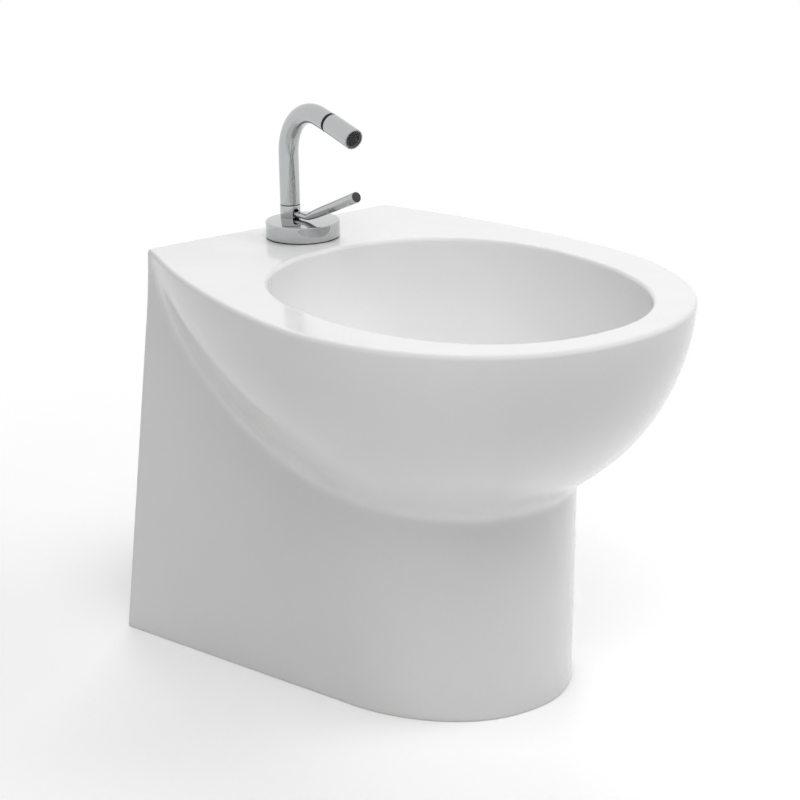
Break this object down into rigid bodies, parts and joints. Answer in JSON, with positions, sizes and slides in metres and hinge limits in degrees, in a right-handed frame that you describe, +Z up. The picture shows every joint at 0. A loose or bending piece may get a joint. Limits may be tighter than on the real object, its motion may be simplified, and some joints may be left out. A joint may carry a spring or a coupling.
{
  "type": "floor standing bidet",
  "caption": "Floor-standing bidet: a glazed china bowl on a hollow pedestal, with a single-hole mixer tap, a ball-jointed nozzle, a push-plug waste and a bottle trap.",
  "frame": {"origin": "on the floor, in the middle between the two sides and between the front of the rim and the wall plane", "axes": "+Z up, +Y towards the wall, -Y the front of the bowl, +X the right-hand side seen from the front"},
  "size_m": [0.4096, 0.5399, 0.5265],
  "materials": {
    "china": "gloss glaze",
    "chrome": "polished",
    "rubber": "matte",
    "black_plastic": "matte",
    "grey_plastic": "matte",
    "white_plastic": "satin",
    "steel": "plain",
    "brass": "machined"
  },
  "bodies": {
    "bidet": {"ceramic_body": "china", "tap_gasket": "rubber", "tap_base": "chrome", "cartridge": "white_plastic", "spout": "chrome", "glide_ring": "black_plastic", "tap_stud": "brass", "stud_pad": "rubber", "stud_plate": "steel", "stud_nut": "brass", "waste_body": "chrome", "waste_gasket": "rubber", "waste_seal": "rubber", "waste_nut": "brass", "plug_guide": "white_plastic", "tail_pipe": "chrome", "tail_seal": "rubber", "tail_nut": "chrome", "inlet_seal": "rubber", "inlet_nut": "chrome", "trap_body": "chrome", "cup_seal": "rubber", "trap_cup": "chrome", "outlet_seal": "rubber", "outlet_nut": "chrome", "outlet_pipe": "chrome"},
    "collar": {"lever_collar": "chrome", "lever_pin": "steel"},
    "lever": {"lever_neck": "chrome", "lever_stick": "chrome", "lever_plug": "black_plastic"},
    "swivel": {"nozzle_ring": "black_plastic", "swivel_ball": "steel"},
    "nozzle": {"nozzle_sleeve": "chrome", "ball_retainer": "grey_plastic", "aerator_body": "grey_plastic", "aerator_screen": "grey_plastic"},
    "plug": {"plug_stem": "steel", "plug_cap": "chrome", "plug_seal": "rubber"}
  },
  "joints": [
    {"name": "lever_turn", "type": "hinge", "parent": "bidet", "child": "collar", "pos_m": [0, 0.2315, 0.41], "axis": [0, 0, 1], "range_deg": [-45, 45]},
    {"name": "lever_lift", "type": "hinge", "parent": "collar", "child": "lever", "pos_m": [0, 0.2237, 0.4107], "axis": [-1, 0, 0], "range_deg": [0, 20]},
    {"name": "nozzle_spin", "type": "hinge", "parent": "bidet", "child": "swivel", "pos_m": [0, 0.159, 0.51174], "axis": [0, -0.9763, -0.2164], "continuous": true},
    {"name": "nozzle_tilt", "type": "hinge", "parent": "swivel", "child": "nozzle", "pos_m": [0, 0.15041, 0.50984], "axis": [1, 0, 0], "range_deg": [-14, 10]},
    {"name": "plug_slide", "type": "slide", "parent": "bidet", "child": "plug", "axis": [0, 0, 1], "range_m": [-0.008, 0]}
  ]
}
